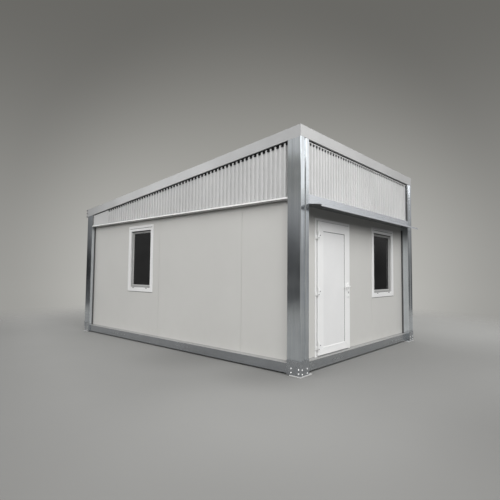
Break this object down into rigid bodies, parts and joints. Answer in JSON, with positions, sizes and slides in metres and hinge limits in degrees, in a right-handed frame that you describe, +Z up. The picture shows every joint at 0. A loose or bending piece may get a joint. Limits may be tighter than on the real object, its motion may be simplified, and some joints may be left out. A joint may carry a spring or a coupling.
{
  "type": "prefabricated cabin",
  "caption": "Single-slope prefabricated cabin with a bolted galvanised steel frame, sandwich panel walls, corrugated upper cladding, a front canopy, a hinged door and side windows.",
  "frame": {"origin": "on the ground, in the middle of the overall plan, which runs from the canopy's front lip to the gutter's rear face", "axes": "+Z up; -Y is the front, with the door; +X to the right when facing the front; the roof falls towards +Y"},
  "size_m": [4.14, 6.317, 3.425],
  "materials": {
    "galvanised_steel": "spangled galvanised sheet steel, dull, with soft streaks",
    "fascia_steel": "coated light grey sheet steel, satin",
    "roof_steel": "coated trapezoidal roof sheet, satin",
    "corrugated_sheet": "coated corrugated sheet, light grey, satin",
    "white_trim": "coated folded trim, off-white, satin",
    "wall_panel": "coated sandwich panel, warm light grey, matt",
    "inner_lining": "coated sandwich panel lining, white, matt",
    "floor_covering": "sheet floor covering, grey, matt",
    "white_pvc": "white PVC profile, satin",
    "door_infill": "white PVC infill panel, satin",
    "hinge_white": "white painted hinges",
    "handle_white": "white painted lever handle",
    "aluminium_sill": "bare aluminium threshold",
    "window_glass": "clear double glazing, dark against the unlit room"
  },
  "bodies": {
    "cabin": {"base_beam_front": "galvanised_steel", "base_beam_rear": "galvanised_steel", "base_beam_left": "galvanised_steel", "base_beam_right": "galvanised_steel", "foot_front_left": "galvanised_steel", "foot_front_right": "galvanised_steel", "foot_rear_left": "galvanised_steel", "foot_rear_right": "galvanised_steel", "post_front_left": "galvanised_steel", "post_front_right": "galvanised_steel", "post_rear_left": "galvanised_steel", "post_rear_right": "galvanised_steel", "roof_beam_front": "fascia_steel", "roof_beam_rear": "fascia_steel", "roof_beam_left": "fascia_steel", "roof_beam_right": "fascia_steel", "roof_sheet": "roof_steel", "rear_gutter": "fascia_steel", "ceiling_panel": "inner_lining", "floor_panel": "floor_covering", "front_wall_left": "wall_panel", "front_wall_over_door": "wall_panel", "front_wall_right": "wall_panel", "left_wall": "wall_panel", "right_wall": "wall_panel", "rear_wall": "wall_panel", "cladding_front": "corrugated_sheet", "cladding_rear": "corrugated_sheet", "cladding_left": "corrugated_sheet", "cladding_right": "corrugated_sheet", "cladding_trims": "white_trim", "front_lintel": "galvanised_steel", "canopy": "galvanised_steel", "door_frame": "white_pvc", "door_threshold": "aluminium_sill", "door_hinge_pins": "hinge_white", "front_window_frame": "white_pvc", "front_window_glass": "window_glass", "left_window_frame": "white_pvc", "left_window_glass": "window_glass"},
    "door": {"door_leaf": "white_pvc", "door_panel": "door_infill", "door_hinge_knuckles": "hinge_white", "door_handle_outside": "handle_white", "door_handle_inside": "handle_white"}
  },
  "joints": [
    {"name": "door_hinge", "type": "hinge", "parent": "cabin", "child": "door", "pos_m": [-1.438, -2.8525, 1.112], "axis": [0, 0, -1], "range_deg": [0, 150]}
  ]
}
